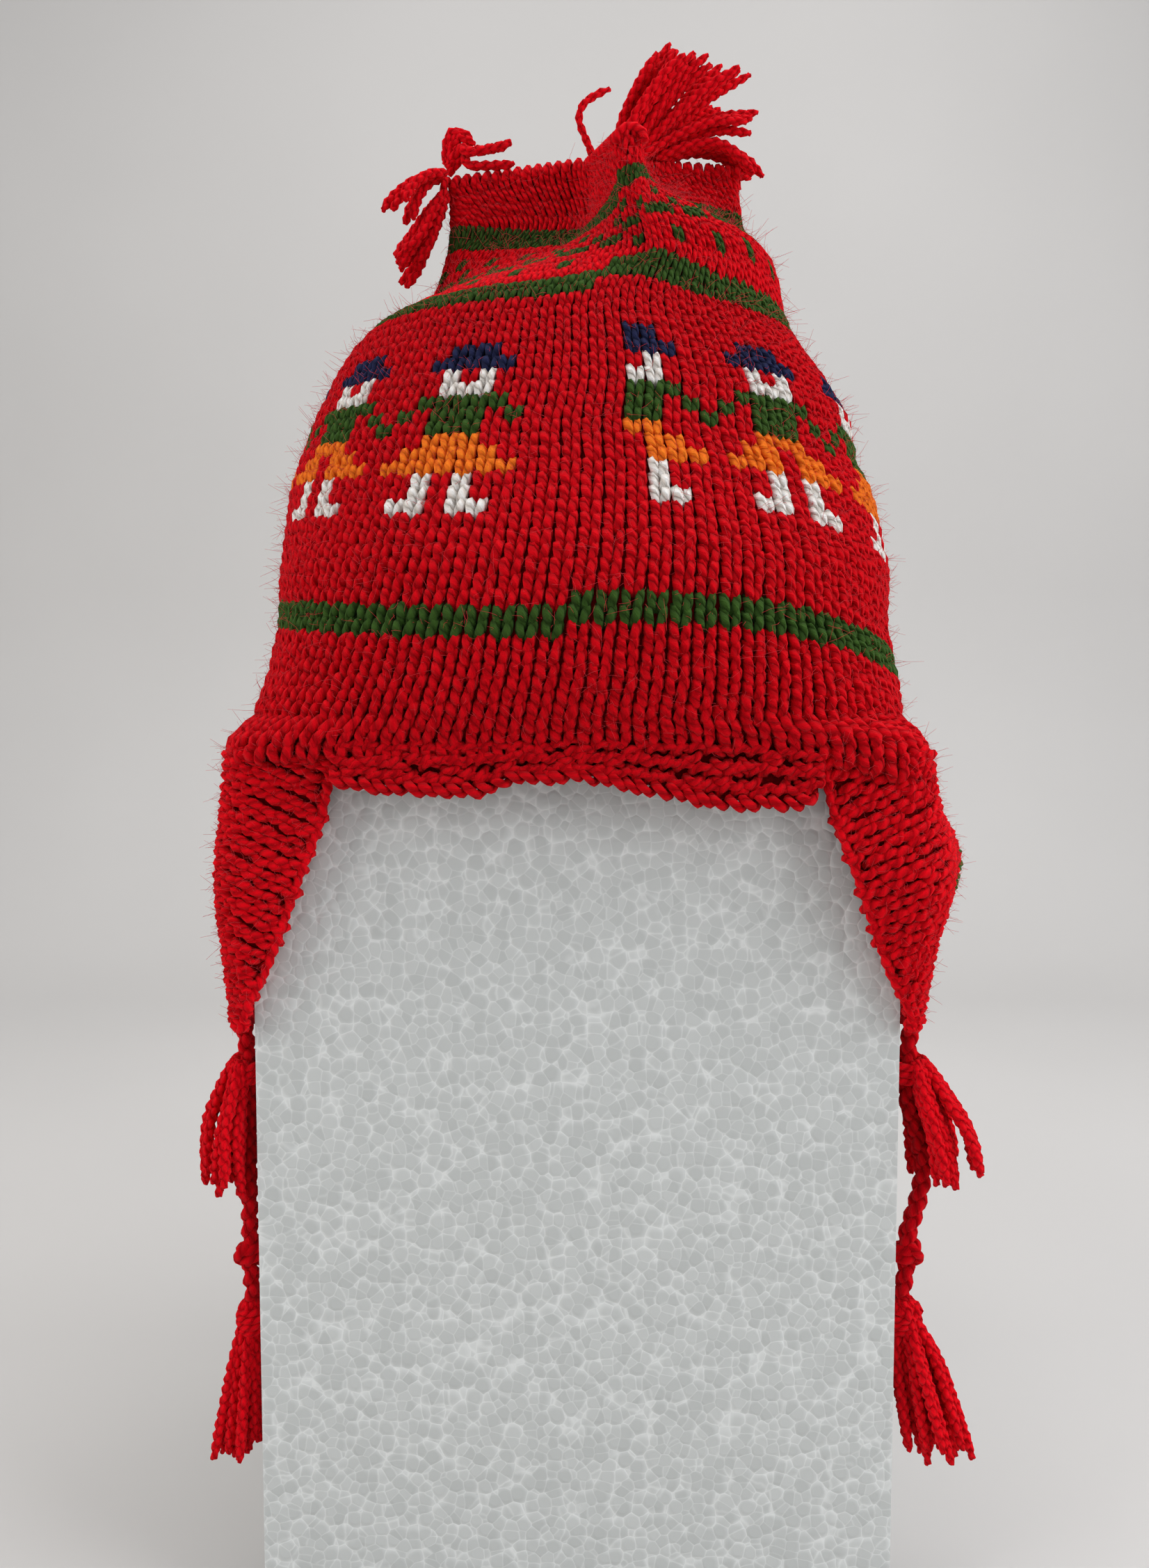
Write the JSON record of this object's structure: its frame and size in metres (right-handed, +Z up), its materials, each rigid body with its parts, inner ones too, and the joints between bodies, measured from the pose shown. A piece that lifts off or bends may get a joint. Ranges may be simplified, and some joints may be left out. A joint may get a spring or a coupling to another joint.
{
  "type": "chullo hat on a foam block stand",
  "caption": "Knitted chullo hat with ear flaps, braided tie cords and tassels, its folded top tasselled, on a plain foam block.",
  "frame": {"origin": "centre of the foam block's foot, on the surface that it stands on", "axes": "+Z up, -Y the way the wearer's face looks, +X to the right as seen from the front"},
  "size_m": [0.1873, 0.154, 0.4109],
  "materials": {
    "knit_red": "wool stockinette with green, navy, white and orange motifs, fuzzy",
    "border_red": "twisted wool edging",
    "cord_red": "braided wool",
    "tassel_red": "loose two-ply wool yarn",
    "foam": "bare expanded foam with visible beads"
  },
  "bodies": {
    "root": {"crown": "knit_red", "brow_border": "border_red", "nape_border": "border_red", "flap_left": "knit_red", "flap_right": "knit_red", "tie_cord_left": "cord_red", "tie_cord_right": "cord_red", "tie_cord_end_left": "cord_red", "tie_cord_end_right": "cord_red", "knot_left": "cord_red", "knot_right": "cord_red", "tassel_upper_left": "tassel_red", "tassel_upper_right": "tassel_red", "tassel_lower_left": "tassel_red", "tassel_lower_right": "tassel_red", "crest_tassel": "tassel_red", "corner_tassel": "tassel_red", "foam_block": "foam"}
  },
  "joints": []
}
